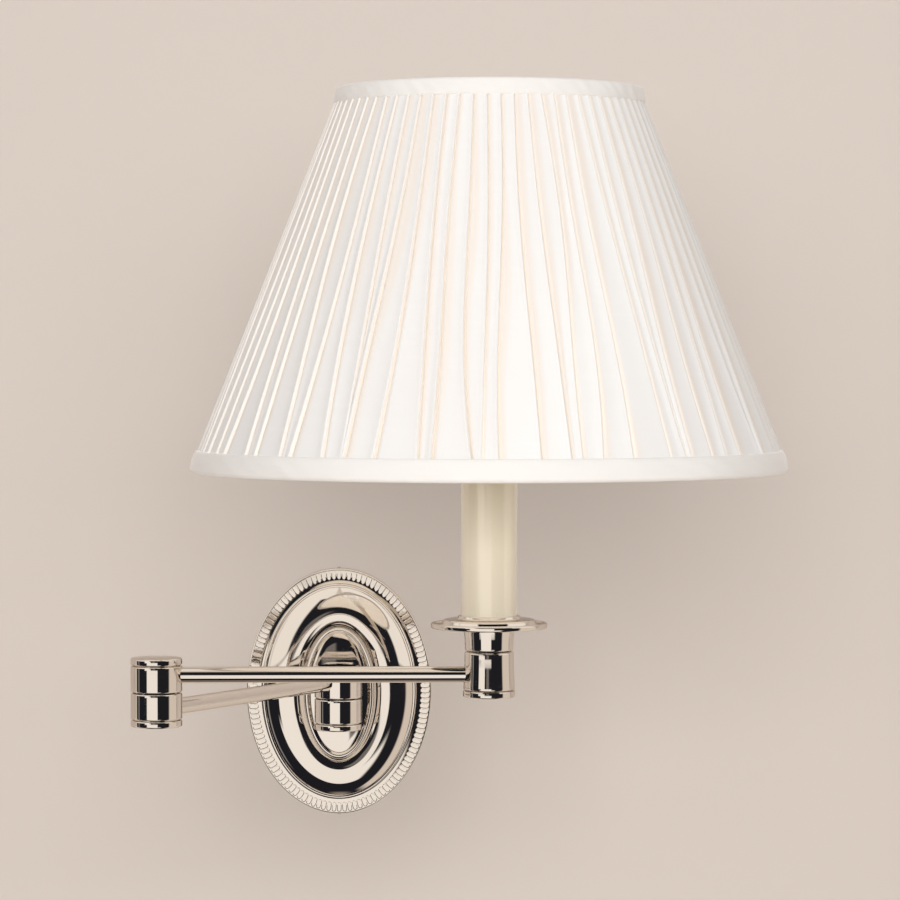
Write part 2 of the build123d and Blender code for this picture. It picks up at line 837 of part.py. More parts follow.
def strut():
    foot = Vector(base_ring_radius, 0, base_ring_z)
    head = Vector(mouth_ring_radius, 0, mouth_ring_z)
    rod = extrude(Plane(foot, z_dir=head - foot) * Circle(strut_radius), (head - foot).length)
    rod -= ring_wire(base_ring_radius, base_ring_wire + press, base_ring_z)
    return rod - ring_wire(mouth_ring_radius, mouth_ring_wire + press, mouth_ring_z)


def shade_spider():
    hub_radius = carrier_spread + carrier_ring_half
    hub = ring(carrier_spread - carrier_ring_half, hub_radius, hub_base, hub_base + hub_height)
    arm_height = hub_base + hub_height / 2 + slack / 2
    end = mouth_ring_radius - mouth_ring_wire - slack
    arm = wire_along(
        [
            (carrier_spread, 0, arm_height),
            (carrier_spread + spider_level, 0, arm_height),
            (end - spider_reach, 0, mouth_ring_z),
            (end, 0, mouth_ring_z),
        ],
        [spider_bend, spider_bend],
        wire_radius,
    )
    return hub + around(arm, spider_arm_count)


def shade_lining():
    lean = (base_ring_radius - mouth_ring_radius) / (mouth_ring_z - base_ring_z)
    inset = strut_radius * slope_stretch + slack
    bottom = base_ring_z + base_ring_wire + lining_gap
    top = mouth_ring_z - mouth_ring_wire - lining_gap
    outer_bottom = base_ring_radius - lean * (bottom - base_ring_z) - inset
    outer_top = base_ring_radius - lean * (top - base_ring_z) - inset
    sides = strut_count * facet_count
    outside = frustum(sides, bottom, outer_bottom, top, outer_top)
    inside = frustum(sides, bottom, outer_bottom - lining_thickness, top, outer_top - lining_thickness)
    return outside - inside


# Pleated cover and its bands
def pleat_outline(height):
    points = []
    for pleat in range(pleat_count):
        for place, share in ((pleat, 1), (pleat + pleat_step, pleat_valley)):
            angle = radians(360 * place / pleat_count)
            radius = cone_radius(height, share)
            points.append((radius * cos(angle), radius * sin(angle)))
    return Pos(0, 0, height) * make_face(Polyline(*points, close=True))


def cone_band(inner_share, outer_share, bottom, top):
    return turned_points(
        (cone_radius(bottom, inner_share), bottom),
        (cone_radius(bottom, outer_share), bottom),
        (cone_radius(top, outer_share), top),
        (cone_radius(top, inner_share), top),
    )


def shade_cover():
    cover = loft([pleat_outline(pleat_base), pleat_outline(pleat_top)], ruled=True)
    base_bore = cone_radius(pleat_base, pleat_backing)
    cover -= frustum(pleat_count, pleat_base, base_bore, pleat_top, cone_radius(pleat_top, pleat_backing))
    cover += cone_band(skirt_backing, skirt_share, shade_bottom + skirt_inset, pleat_base)
    cover += cone_band(skirt_backing, skirt_share, pleat_top, shade_top - skirt_inset)
    return cover


def trim_band(bottom, bottom_radius, top, top_radius):
    return turned_points(
        (cone_radius(bottom, skirt_share) + slack, bottom),
        (bottom_radius, bottom),
        (top_radius, top),
        (cone_radius(top, skirt_share) + slack, top),
    )


def add_shade():
    struts_group = Compound(around(strut(), strut_count))
    lower_trim = trim_band(shade_bottom, shade_base_radius, pleat_base, lower_band_top_radius)
    upper_trim = trim_band(pleat_top, upper_band_foot_radius, shade_top, shade_mouth_radius)
    nodes["shade_bottom_ring"] = lamp_frame * ring_wire(base_ring_radius, base_ring_wire, base_ring_z)
    nodes["shade_top_ring"] = lamp_frame * ring_wire(mouth_ring_radius, mouth_ring_wire, mouth_ring_z)
    nodes["shade_struts"] = lamp_frame * struts_group
    nodes["shade_spider"] = lamp_frame * shade_spider()
    nodes["shade_lining"] = lamp_frame * shade_lining()
    nodes["shade_cover"] = lamp_frame * shade_cover()
    nodes["shade_bottom_trim"] = lamp_frame * lower_trim
    nodes["shade_top_trim"] = lamp_frame * upper_trim


add_wall_side()
add_pivots()
add_arm_tubes()
add_flex()
add_lamp_end()
add_lampholder()
add_carrier()
add_shade()

os.makedirs("parts", exist_ok=True)
for name, shape in nodes.items():
    export_step(shape, f"parts/{name}.step")
print(len(nodes), "nodes")
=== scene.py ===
# %% [markdown]
# # A swing-arm wall light with a pleated shade
# The light hangs on a wall: an oval plate, two level arms that swing, and a candle tube under a pleated
# shade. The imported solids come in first. They stay where they are, and every new piece is built around
# them in the same frame, in metres, with the wall at y = 0 and the light standing out toward -Y.

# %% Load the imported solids
import json
import math
import random

import bpy
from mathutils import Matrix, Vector, noise


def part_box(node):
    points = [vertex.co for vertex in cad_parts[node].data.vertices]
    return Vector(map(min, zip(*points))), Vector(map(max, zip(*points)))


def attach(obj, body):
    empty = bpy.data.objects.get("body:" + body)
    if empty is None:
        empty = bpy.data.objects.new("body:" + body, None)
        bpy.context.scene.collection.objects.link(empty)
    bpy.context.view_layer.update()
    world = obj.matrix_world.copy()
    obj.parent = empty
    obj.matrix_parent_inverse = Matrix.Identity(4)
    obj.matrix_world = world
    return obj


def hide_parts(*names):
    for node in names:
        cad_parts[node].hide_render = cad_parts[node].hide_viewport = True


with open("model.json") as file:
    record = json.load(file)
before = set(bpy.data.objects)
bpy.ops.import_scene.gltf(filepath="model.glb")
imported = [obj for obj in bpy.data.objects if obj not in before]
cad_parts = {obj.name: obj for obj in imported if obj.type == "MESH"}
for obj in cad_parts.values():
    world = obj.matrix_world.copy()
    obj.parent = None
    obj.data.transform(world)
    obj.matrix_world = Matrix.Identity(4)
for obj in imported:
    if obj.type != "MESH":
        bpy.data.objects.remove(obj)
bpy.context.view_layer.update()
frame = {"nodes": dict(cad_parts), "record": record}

# %% [markdown]
# ## Small helpers
# Sizes are easier to read in millimetres, so one factor turns them into metres. A turned piece is drawn
# as half an outline, by extruding one vertex from point to point, and is then spun round its axis. That
# is how a lathe works, and it gives even rings, which a polished surface needs for clean reflections.

# %% Axes and shared measures
MM = 0.001
WALL_AXIS = Vector((0, -43, 0)) * MM
ELBOW_AXIS = Vector((-90.019, -184.847, 17.4)) * MM
LAMP_AXIS = Vector((77.981, -184.847, 0)) * MM
WELD = 0.002 * MM
TURN_STEPS = 144
CORNER_SEGMENTS = 4
# Faces that meet at less than this angle, in degrees, are shaded as one smooth surface.
SMOOTH_REEDS = 20
SMOOTH_PRESSED = 30
SMOOTH_TURNED = 50
SMOOTH_CLOTH = 60
SMOOTH_FOLDS = 75
print("wall pivot to elbow", round((ELBOW_AXIS - WALL_AXIS).xy.length / MM, 1), "mm")


# %% Outline and finishing helpers
def draw_outline(name, points):
    bpy.ops.object.select_all(action="DESELECT")
    bpy.ops.mesh.primitive_plane_add(size=MM, location=(0, 0, 0))
    piece = bpy.context.object
    piece.name = name
    piece.data.name = name
    bpy.ops.object.mode_set(mode="EDIT")
    bpy.ops.mesh.select_all(action="SELECT")
    bpy.ops.mesh.merge(type="CENTER")
    bpy.ops.transform.translate(value=points[0])
    for before, after in zip(points, points[1:]):
        bpy.ops.mesh.extrude_vertices_move(TRANSFORM_OT_translate={"value": after - before})
    return piece


def close_up():
    bpy.ops.mesh.select_all(action="SELECT")
    bpy.ops.mesh.remove_doubles(threshold=WELD)
    bpy.ops.mesh.normals_make_consistent(inside=False)


def finish_piece(piece, body, material, smooth):
    bpy.ops.object.select_all(action="DESELECT")
    piece.select_set(True)
    bpy.context.view_layer.objects.active = piece
    bpy.ops.object.shade_smooth_by_angle(angle=math.radians(smooth))
    piece.data.materials.clear()
    piece.data.materials.append(material)
    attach(piece, body)
    print(piece.name, len(piece.data.polygons), "faces")


def turned_piece(name, axis, outline, corner_round, steps=TURN_STEPS):
    points = [axis + Vector((radius, 0, height)) * MM for radius, height in outline]
    if outline[0][0] > 0:
        points.append(points[0])
    piece = draw_outline(name, points)
    bpy.ops.mesh.select_all(action="SELECT")
    bpy.ops.mesh.remove_doubles(threshold=WELD)
    bpy.ops.mesh.bevel(
        offset=corner_round * MM,
        segments=CORNER_SEGMENTS,
        affect="VERTICES",
        clamp_overlap=True,
    )
    bpy.ops.mesh.select_all(action="SELECT")
    bpy.ops.mesh.spin(steps=steps, angle=2 * math.pi, center=axis, axis=(0, 0, 1))
    close_up()
    bpy.ops.object.mode_set(mode="OBJECT")
    return piece


print("outline helpers ready")

# %% [markdown]
# ## Writing shaders as sums
# A finish is a small formula: a colour that drifts, a roughness with smudges, a bump with grain. The
# class below wraps one socket of the shader, so that a formula can be written with plain + and * signs
# and each sign adds its Math node. Every other node comes from one method, `node`, which takes inputs by
# name, or by their place (i0, i1 and so on) where a node repeats a name. Wiring the nodes by hand would
# do the same, but a formula is far shorter to read and to change.

# %% The shader value class
def input_key(name):
    if name[1:].isdigit():
        return int(name[1:])
    return name.replace("_", " ")


class Value:
    def __init__(self, tree, socket):
        self.tree = tree
        self.socket = socket

    def node(self, kind, settings=None, **inputs):
        made = self.tree.nodes.new(kind)
        for name, setting in (settings or {}).items():
            setattr(made, name, setting)
        for name, given in inputs.items():
            socket = made.inputs[input_key(name)]
            if isinstance(given, Value):
                self.tree.links.new(given.socket, socket)
            else:
                socket.default_value = given
        return made

    def out(self, made, output=0):
        return Value(self.tree, made.outputs[output])

    def maths(self, operation, first, second=0.0):
        return self.out(self.node("ShaderNodeMath", {"operation": operation}, i0=first, i1=second))

    def __add__(self, other):
        return self.maths("ADD", self, other)

    def __radd__(self, other):
        return self.maths("ADD", other, self)

    def __sub__(self, other):
        return self.maths("SUBTRACT", self, other)

    def __rsub__(self, other):
        return self.maths("SUBTRACT", other, self)

    def __mul__(self, other):
        return self.maths("MULTIPLY", self, other)

    def __rmul__(self, other):
        return self.maths("MULTIPLY", other, self)

    def ease(self, low, high):
        smooth = {"interpolation_type": "SMOOTHSTEP"}
        made = self.node("ShaderNodeMapRange", smooth, Value=self, i1=low, i2=high)
        return self.out(made)

    def between(self, low, high, edge):
        return self.ease(low - edge, low + edge) * (1 - self.ease(high - edge, high + edge))

    def noise(self, scale, detail=2.0, stretch=(1, 1, 1)):
        place = self.node("ShaderNodeMapping", None, Vector=self, Scale=stretch)
        made = self.node("ShaderNodeTexNoise", None, Vector=self.out(place), Scale=scale, Detail=detail)
        return self.out(made)

    def blend(self, first, second):
        made = self.node("ShaderNodeMix", {"data_type": "RGBA"}, i0=self, i6=first, i7=second)
        return self.out(made, 2)


print("shader values ready")


# %% Starting a finish and filling its sockets
def new_finish(name):
    material = bpy.data.materials.new(name)
    material.use_nodes = True
    tree = material.node_tree
    shader = tree.nodes["Principled BSDF"]
    coordinates = tree.nodes.new("ShaderNodeTexCoord")
    place = Value(tree, coordinates.outputs["Object"])
    cloth = Value(tree, coordinates.outputs["UV"])
    return material, shader, place, cloth


def feed(shader, value, socket):
    value.tree.links.new(value.socket, shader.inputs[socket])


def set_numbers(shader, **numbers):
    for name, number in numbers.items():
        shader.inputs[name.replace("_", " ")].default_value = number


def bump(shader, value, strength, depth):
    made = value.node("ShaderNodeBump", None, Strength=strength, Distance=depth, Height=value)
    feed(shader, value.out(made), "Normal")


print("finish helpers ready")

# %% [markdown]
# ## Metals
# The plate, arms and knuckles are polished nickel: a warm white metal that is nearly a mirror, with faint
# smears left by the polishing cloth. Screws and brackets out of sight are zinc plated, and the threaded
# nipple and contacts are brass. All of them are full metals, so their colour is the tint of what they
# mirror. A picture of scratches could be wrapped round each piece, but noise in the space of the object
# needs no map, and keeps one size of grain on small and large pieces.

# %% Metal finishes
BUMP_STRENGTH = 0.3
SMEAR_SCALE = 38.0
SMEAR_STRETCH = (1, 1, 2.6)
TINT_SCALE = 9.0
WAVE_SCALE = 75.0
WAVE_SHARE = 12
METAL_EDGE_TINT = (0.72, 0.68, 0.64, 1)


def metal_finish(name, dark, light, smooth, rough, grain, bump_depth):
    material, shader, place, _ = new_finish(name)
    smear = place.noise(SMEAR_SCALE, 4.0, SMEAR_STRETCH)
    tint = place.noise(TINT_SCALE, 2.0)
    waves = WAVE_SHARE * place.noise(WAVE_SCALE, 1.0)
    feed(shader, tint.blend(dark, light), "Base Color")
    feed(shader, smooth + (rough - smooth) * smear.ease(0.42, 0.72), "Roughness")
    bump(shader, place.noise(grain, 3.0) + waves, BUMP_STRENGTH, bump_depth)
    set_numbers(shader, Metallic=1.0, Specular_Tint=METAL_EDGE_TINT)
    return material


polished_nickel = metal_finish(
    "polished_nickel",
    dark=(0.80, 0.745, 0.685, 1),
    light=(0.86, 0.81, 0.755, 1),
    smooth=0.035,
    rough=0.085,
    grain=240.0,
    bump_depth=0.004 * MM,
)
zinc_steel = metal_finish(
    "zinc_plated_steel",
    dark=(0.50, 0.52, 0.53, 1),
    light=(0.66, 0.65, 0.60, 1),
    smooth=0.30,
    rough=0.48,
    grain=900.0,
    bump_depth=0.02 * MM,
)
brass = metal_finish(
    "brass",
    dark=(0.62, 0.42, 0.17, 1),
    light=(0.76, 0.56, 0.27, 1),
    smooth=0.22,
    rough=0.40,
    grain=700.0,
    bump_depth=0.015 * MM,
)
print("metals", polished_nickel.name, zinc_steel.name, brass.name)

# %% [markdown]
# ## Plastics, fibre, glass and paint
# The candle tube is ivory plastic with a faint flow of colour along its length, under a clear coat that
# gives it a narrow upright shine. Inside it is a pale lampholder. Behind the plate are a pale terminal
# block and the sheathed flex, and in the pivots are washers of pressed brown fibre. The bulb is opal
# glass, and the wires of the shade are painted white. One plain colour each would be quicker, but it
# looks computer made, so each finish has grain, colour drift and a roughness that varies.

# %% Moulded and painted finishes
FLOW_SCALE = 26.0
COAT_ROUGHNESS = 0.08


def moulded_finish(name, tones, rough, grain, bump_depth, stretch=(1, 1, 1), coat=0.0, coat_ior=1.5):
    material, shader, place, _ = new_finish(name)
    flow = place.noise(FLOW_SCALE, 3.0, stretch)
    feed(shader, flow.blend(*tones), "Base Color")
    feed(shader, rough[0] + (rough[1] - rough[0]) * flow.ease(0.35, 0.7), "Roughness")
    bump(shader, place.noise(grain, 2.0), BUMP_STRENGTH, bump_depth)
    set_numbers(shader, Coat_Weight=coat, Coat_Roughness=COAT_ROUGHNESS, Coat_IOR=coat_ior)
    return material


ivory_candle = moulded_finish(
    "ivory_candle",
    tones=((0.70, 0.635, 0.495, 1), (0.75, 0.69, 0.56, 1)),
    rough=(0.26, 0.36),
    grain=600.0,
    bump_depth=0.01 * MM,
    stretch=(1, 1, 0.25),
    coat=1.0,
    coat_ior=1.8,
)
opal_glass = moulded_finish(
    "opal_glass",
    tones=((0.86, 0.85, 0.82, 1), (0.90, 0.89, 0.87, 1)),
    rough=(0.10, 0.18),
    grain=300.0,
    bump_depth=0.005 * MM,
    coat=0.4,
)
# For each finish: two tones, two roughnesses, grain and depth of bump.
PLAIN_FINISHES = {
    "holder_plastic": (((0.72, 0.70, 0.64, 1), (0.80, 0.78, 0.72, 1)), (0.40, 0.55), 1500.0, 0.02 * MM),
    "terminal_plastic": (((0.80, 0.79, 0.75, 1), (0.86, 0.85, 0.81, 1)), (0.40, 0.55), 1500.0, 0.02 * MM),
    "flex_sheath": (((0.66, 0.57, 0.38, 1), (0.73, 0.63, 0.43, 1)), (0.45, 0.60), 1800.0, 0.02 * MM),
    "fibre": (((0.26, 0.17, 0.115, 1), (0.33, 0.22, 0.155, 1)), (0.60, 0.80), 2600.0, 0.04 * MM),
    "white_frame_wire": (((0.78, 0.77, 0.74, 1), (0.84, 0.83, 0.80, 1)), (0.34, 0.48), 1400.0, 0.03 * MM),
}
plain = {name: moulded_finish(name, *numbers) for name, numbers in PLAIN_FINISHES.items()}
print("moulded and painted", ivory_candle.name, opal_glass.name, *plain)

# %% [markdown]
# ## Silk
# The shade is off-white silk. Woven silk has fine threads both ways and here and there a thicker thread,
# the slub, which runs across. The weave is drawn on the cloth's own map, so it follows every pleat. One
# unit of the map is about one metre of cloth, so the threads can be given in millimetres. Along each fold
# several layers of cloth lie over each other and let less light through. Modelling those layers would
# need up to three times the cloth, so the map paints that shade as a soft, warmer band beside each fold,
# and paints the bottom of each valley paler, as light coming through the cloth there. The lining has a
# faint glow painted in, for the same light coming through the silk.

# %% Painted shade and light along the folds
# Painted shade: a warmer, darker band where layers of silk let less light through.
LAYER_SHADE_TINT = (0.857, 0.80, 0.738, 1)
LAYER_SHADE_WIDTH = 0.27
LAYER_SHADE_WIDER = 0.1
LAYER_SHADE_UNEVEN = 0.3
LAYER_SHADE_EDGE = 0.07
UNEVEN_SCALE = 75.0
UNEVEN_STRETCH = (1.0, 0.12, 1.0)
WIDER_FROM, WIDER_TO = 0.02, 0.13
# Painted light: the bottom of each valley is coloured paler, as light coming through the cloth.
VALLEY_LIGHT_TINT = (0.97, 0.91, 0.835, 1)
VALLEY_LIGHT_END, VALLEY_LIGHT_START = 0.13, 0.86
VALLEY_LIGHT_EDGE = 0.08


def fold_shade_and_light(colour, cloth, across, along, fold):
    share = cloth.maths("FRACT", across * (1 / fold))
    uneven = cloth.noise(UNEVEN_SCALE, 0.0, UNEVEN_STRETCH) - 0.5
    width = LAYER_SHADE_WIDTH + LAYER_SHADE_WIDER * along.ease(WIDER_FROM, WIDER_TO) + LAYER_SHADE_UNEVEN * uneven
    layered_shade = 1 - (share - width).ease(-LAYER_SHADE_EDGE, LAYER_SHADE_EDGE)
    valley = 1 - share.between(VALLEY_LIGHT_END, VALLEY_LIGHT_START, VALLEY_LIGHT_EDGE)
    return valley.blend(layered_shade.blend(colour, LAYER_SHADE_TINT), VALLEY_LIGHT_TINT)


print("fold bands ready")

# %% Silk finishes
PLEATS = 74
CLOTH_ROUND = 1.05
SLUB_SCALE = 260.0
SLUB_STRETCH = (0.12, 1.0, 1.0)
DRIFT_SCALE = 14.0
DRIFT_STRETCH = (1.0, 0.4, 1.0)
WEAVE_BUMP = 0.35
SHEEN_ROUGHNESS = 0.4
SHEEN_TINT = (1.0, 0.97, 0.94, 1)
PAINTED_GLOW_TINT = (1.0, 0.94, 0.86, 1)


def silk_finish(name, shadow, light, thread, slub_depth, sheen, fold=None, painted_glow=0.0):
    material, shader, _, cloth = new_finish(name)
    parts = cloth.node("ShaderNodeSeparateXYZ", None, Vector=cloth)
    across = cloth.out(parts, 0)
    along = cloth.out(parts, 1)
    warp = cloth.maths("SINE", across * (2 * math.pi / thread))
    weft = cloth.maths("SINE", along * (2 * math.pi / thread))
    slub = cloth.noise(SLUB_SCALE, 3.0, SLUB_STRETCH).ease(0.45, 0.8)
    drift = cloth.noise(DRIFT_SCALE, 2.0, DRIFT_STRETCH)
    colour = (0.9 * drift + 0.1 * slub).ease(0.25, 0.7).blend(shadow, light)
    if fold:
        colour = fold_shade_and_light(colour, cloth, across, along, fold)
    feed(shader, colour, "Base Color")
    feed(shader, 0.62 + 0.2 * slub, "Roughness")
    bump(shader, warp * weft + 0.7 * slub, WEAVE_BUMP, slub_depth)
    set_numbers(shader, Sheen_Weight=sheen, Sheen_Roughness=SHEEN_ROUGHNESS, Sheen_Tint=SHEEN_TINT)
    # Emission paints a faint glow into the cloth, standing in for light that comes through the silk.
    set_numbers(shader, Emission_Color=PAINTED_GLOW_TINT, Emission_Strength=painted_glow)
    return material


pleated_silk = silk_finish(
    "pleated_silk",
    shadow=(0.84, 0.832, 0.815, 1),
    light=(0.872, 0.873, 0.866, 1),
    thread=0.55 * MM,
    slub_depth=0.05 * MM,
    sheen=0.35,
    fold=CLOTH_ROUND / PLEATS,
)
bound_edge_silk = silk_finish(
    "bound_edge_silk",
    shadow=(0.837, 0.823, 0.798, 1),
    light=(0.869, 0.863, 0.845, 1),
    thread=0.50 * MM,
    slub_depth=0.04 * MM,
    sheen=0.35,
)
# Painted light: the lining glows faintly, as room light coming through the silk.
lining_cloth = silk_finish(
    "lining_cloth",
    shadow=(0.78, 0.75, 0.69, 1),
    light=(0.83, 0.80, 0.75, 1),
    thread=0.70 * MM,
    slub_depth=0.05 * MM,
    sheen=0.05,
    painted_glow=0.3,
)
print("silks", pleated_silk.name, bound_edge_silk.name, lining_cloth.name)

# %% [markdown]
# ## Dressing the solids
# Tubes, candle, bulb, screws, washers and wires have their right shape already. They could be modelled
# again, but that would only repeat the solids, so those keep their place and take a better finish, by the
# slot that the record gives each of them. Plate, knuckles and cloth get new pieces further below.

# %% Finishes on the solids
finishes = plain | {
    "polished_nickel": polished_nickel,
    "zinc_plated_steel": zinc_steel,
    "brass": brass,
    "ivory_candle": ivory_candle,
    "opal_glass": opal_glass,
    "pleated_silk": pleated_silk,
    "bound_edge_silk": bound_edge_silk,
    "lining_cloth": lining_cloth,
}
for entry in frame["record"]["subparts"]:
    solid = frame["nodes"][entry["node"]]
    solid.data.materials.clear()
    solid.data.materials.append(finishes[entry["material_slot"]])

# %% [markdown]
# ## Back plate
# The plate is one sheet of metal pressed into rings: a plain rim, a row of reeds, a bead, a broad dome
# and a raised boss with a slightly crowned face. Each ring is an oval a little inside the last. A round
# plate could be spun and then stretched, but its rings would come out wider above and below than at the
# sides. So the plate is grown from a circle stretched to the rim, by extruding its edge inward and
# outward again, one ring at a time, and then given the thickness of the sheet.

# %% Rings of the back plate
PLATE_HALF_WIDTH = 51.5
PLATE_HALF_HEIGHT = 68.5
PLATE_STEPS = 256
SHEET_METAL = 0.8
BOSS_INSET = 36.0
BOSS_CROWN = 1.5
CROWN_SHARES = (1, 0.86, 0.7, 0.54, 0.38, 0.22, 0.08)
DOME_START = (10.6, 6.85)
DOME_CREST_INSET = 24.7
DOME_END_INSET = 31.2
DOME_SLOPES = (44, -18)
DOME_STEPS = (10, 8)

# Each ring is its distance in from the edge of the plate and its height off the wall, in millimetres.
rim_rings = [
    (0, 0), (0, 4.0), (0.12, 4.6), (0.4, 5.0), (0.8, 5.2), (1.2, 5.2), (4.5, 5.2), (8.1, 5.2), (8.3, 5.3),
]
bead_rings = [(8.4, 5.9), (8.55, 6.4), (8.85, 6.8), (9.3, 7.0), (9.8, 7.0), (10.25, 6.85), (10.5, 6.75)]


def dome_arc(start, end_inset, first_slope, last_slope, count):
    first, last = math.radians(first_slope), math.radians(last_slope)
    radius = (end_inset - start[0]) / (math.sin(first) - math.sin(last))
    points = []
    for index in range(count + 1):
        slope = first + (last - first) * index / count
        inset = start[0] + radius * (math.sin(first) - math.sin(slope))
        points.append((inset, start[1] + radius * (math.cos(slope) - math.cos(first))))
    return points


dome_rise = dome_arc(DOME_START, DOME_CREST_INSET, DOME_SLOPES[0], 0, DOME_STEPS[0])
dome_fall = dome_arc(dome_rise[-1], DOME_END_INSET, 0, DOME_SLOPES[1], DOME_STEPS[1])
foot = dome_fall[-1][1]
boss_rings = [
    (31.35, foot), (31.5, foot + 0.5), (31.65, foot + 1.5), (31.8, foot + 2.6), (32.0, 16.7), (32.3, 17.4),
    (32.8, 18.0), (33.4, 18.3), (34.0, 18.3), (34.6, 18.1), (35.2, 17.8), (35.6, 17.7), (BOSS_INSET, 17.9),
]
rings = rim_rings + bead_rings + dome_rise + dome_fall[1:] + boss_rings
print("plate rings", len(rings), "dome crest", round(dome_rise[-1][1], 2))


# %% Growing the plate
def oval_at(inset):
    return PLATE_HALF_WIDTH - inset, PLATE_HALF_HEIGHT - inset


def next_ring(size_from, size_to, out):
    bpy.ops.mesh.extrude_region_move(TRANSFORM_OT_translate={"value": (0, -out * MM, 0)})
    stretch = (size_to[0] / size_from[0], 1, size_to[1] / size_from[1])
    bpy.ops.transform.resize(value=stretch, center_override=(0, 0, 0))


bpy.ops.object.select_all(action="DESELECT")
bpy.ops.mesh.primitive_circle_add(
    vertices=PLATE_STEPS, radius=MM, fill_type="NOTHING", rotation=(math.pi / 2, 0, 0)
)
plate = bpy.context.object
plate.name = "moulded_plate"
bpy.ops.object.transform_apply(location=True, rotation=True, scale=True)
bpy.ops.object.mode_set(mode="EDIT")
bpy.ops.mesh.select_all(action="SELECT")
bpy.ops.transform.resize(value=(PLATE_HALF_WIDTH, 1, PLATE_HALF_HEIGHT), center_override=(0, 0, 0))
for before, after in zip(rings, rings[1:]):
    next_ring(oval_at(before[0]), oval_at(after[0]), after[1] - before[1])

boss = oval_at(BOSS_INSET)
crown = [(share, BOSS_CROWN * (1 - share**2)) for share in CROWN_SHARES]
for (wide, low), (narrow, high) in zip(crown, crown[1:]):
    next_ring((boss[0] * wide, boss[1] * wide), (boss[0] * narrow, boss[1] * narrow), high - low)
bpy.ops.mesh.merge(type="COLLAPSE")
close_up()
bpy.ops.object.mode_set(mode="OBJECT")
print("plate", len(plate.data.polygons), "faces")

# %% Thickness of the plate
sheet_metal = plate.modifiers.new("sheet_metal", "SOLIDIFY")
sheet_metal.thickness = SHEET_METAL * MM
sheet_metal.offset = -1
bpy.ops.object.modifier_apply(modifier=sheet_metal.name)
finish_piece(plate, "wall_mount", polished_nickel, SMOOTH_PRESSED)
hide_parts("back_plate")

# %% [markdown]
# ## Reeds
# The reeds are a row of small round-ended bars pressed up from the rim. They could be pressed into the
# plate itself, but then the whole plate would need a very fine mesh, so they are bars of their own that
# sit on the rim. A circle is pulled into the outline of one bar, extruded twice, drawn in a little each
# time so that its edges slope, and closed at the back. Copies are then set round the oval at even steps.

# %% One reed
REED_COUNT = 124
REED_INSET = 3.7
REED_FLOOR = 5.1
REED_RADIUS = 1.32
REED_STRAIGHT = 1.36
REED_STEPS = ((0.16, 0.97), (0.18, 0.76))
REED_CORNERS = 12
REED_MIDDLE = 0.1
WALK_STEPS = 4000

bpy.ops.object.select_all(action="DESELECT")
bpy.ops.mesh.primitive_circle_add(
    vertices=REED_CORNERS, radius=REED_RADIUS * MM, fill_type="NGON", rotation=(math.pi / 2, 0, 0)
)
reed = bpy.context.object
bpy.ops.object.transform_apply(location=True, rotation=True, scale=True)
for side in (1, -1):
    bpy.ops.object.mode_set(mode="EDIT")
    bpy.ops.mesh.select_all(action="DESELECT")
    bpy.ops.object.mode_set(mode="OBJECT")
    for vertex in reed.data.vertices:
        vertex.select = vertex.co.z * side > REED_MIDDLE * MM
    bpy.ops.object.mode_set(mode="EDIT")
    bpy.ops.transform.translate(value=(0, 0, side * REED_STRAIGHT * MM))
    bpy.ops.object.mode_set(mode="OBJECT")
bpy.ops.object.mode_set(mode="EDIT")
bpy.ops.mesh.select_mode(type="FACE")
bpy.ops.mesh.select_all(action="SELECT")
for out, narrow in REED_STEPS:
    bpy.ops.mesh.extrude_region_move(TRANSFORM_OT_translate={"value": (0, -out * MM, 0)})
    bpy.ops.transform.resize(value=(narrow, 1, (narrow + 1) / 2), center_override=(0, 0, 0))
bpy.ops.mesh.select_mode(type="EDGE")
bpy.ops.mesh.select_all(action="DESELECT")
bpy.ops.mesh.select_non_manifold()
bpy.ops.mesh.edge_face_add()
close_up()
bpy.ops.mesh.select_mode(type="VERT")
bpy.ops.object.mode_set(mode="OBJECT")
print("one reed", len(reed.data.polygons), "faces")

# %% Reeds round the rim
half_width, half_height = oval_at(REED_INSET)
walk = [0.0]
for index in range(WALK_STEPS):
    angle = 2 * math.pi * (index + 0.5) / WALK_STEPS
    walk.append(walk[-1] + math.hypot(half_width * math.sin(angle), half_height * math.cos(angle)))
reeds = []
index = 0
for number in range(REED_COUNT):
    while walk[index] < walk[-1] * number / REED_COUNT:
        index += 1
    angle = 2 * math.pi * index / WALK_STEPS
    copy = reed.copy()
    copy.data = reed.data.copy()
    outward = Vector((math.cos(angle) / half_width, 0, math.sin(angle) / half_height))
    copy.location = Vector((half_width * math.cos(angle), -REED_FLOOR, half_height * math.sin(angle))) * MM
    copy.rotation_euler = (0, math.atan2(outward.x, outward.z), 0)
    bpy.context.scene.collection.objects.link(copy)
    reeds.append(copy)
print("reeds", len(reeds), "pitch", round(walk[-1] / WALK_STEPS * 2 * math.pi / REED_COUNT, 2), "mm")

# %% Joining the reeds
bpy.data.objects.remove(reed)
bpy.ops.object.select_all(action="DESELECT")
for copy in reeds:
    copy.select_set(True)
bpy.context.view_layer.objects.active = reeds[0]
bpy.ops.object.join()
reeding = bpy.context.object
reeding.name = "plate_reeding"
reeding.data.name = "plate_reeding"
bpy.ops.object.transform_apply(location=True, rotation=True, scale=True)
finish_piece(reeding, "wall_mount", polished_nickel, SMOOTH_REEDS)

# %% [markdown]
# ## Pleated cover
# The cover is one strip of silk laid in knife pleats, pressed sharp at the top and easing toward the
# bottom, where the folds wander, lean on each other and some go flat. A pleat is a slow rise, a rounded
# fold and a steep drop. A cloth simulation could drape the strip, but pleats are pressed and sewn, not
# draped. So the sheet is made point by point, since every fold needs its own path, and its map is laid
# out as the flat strip. The same function then makes the lining.

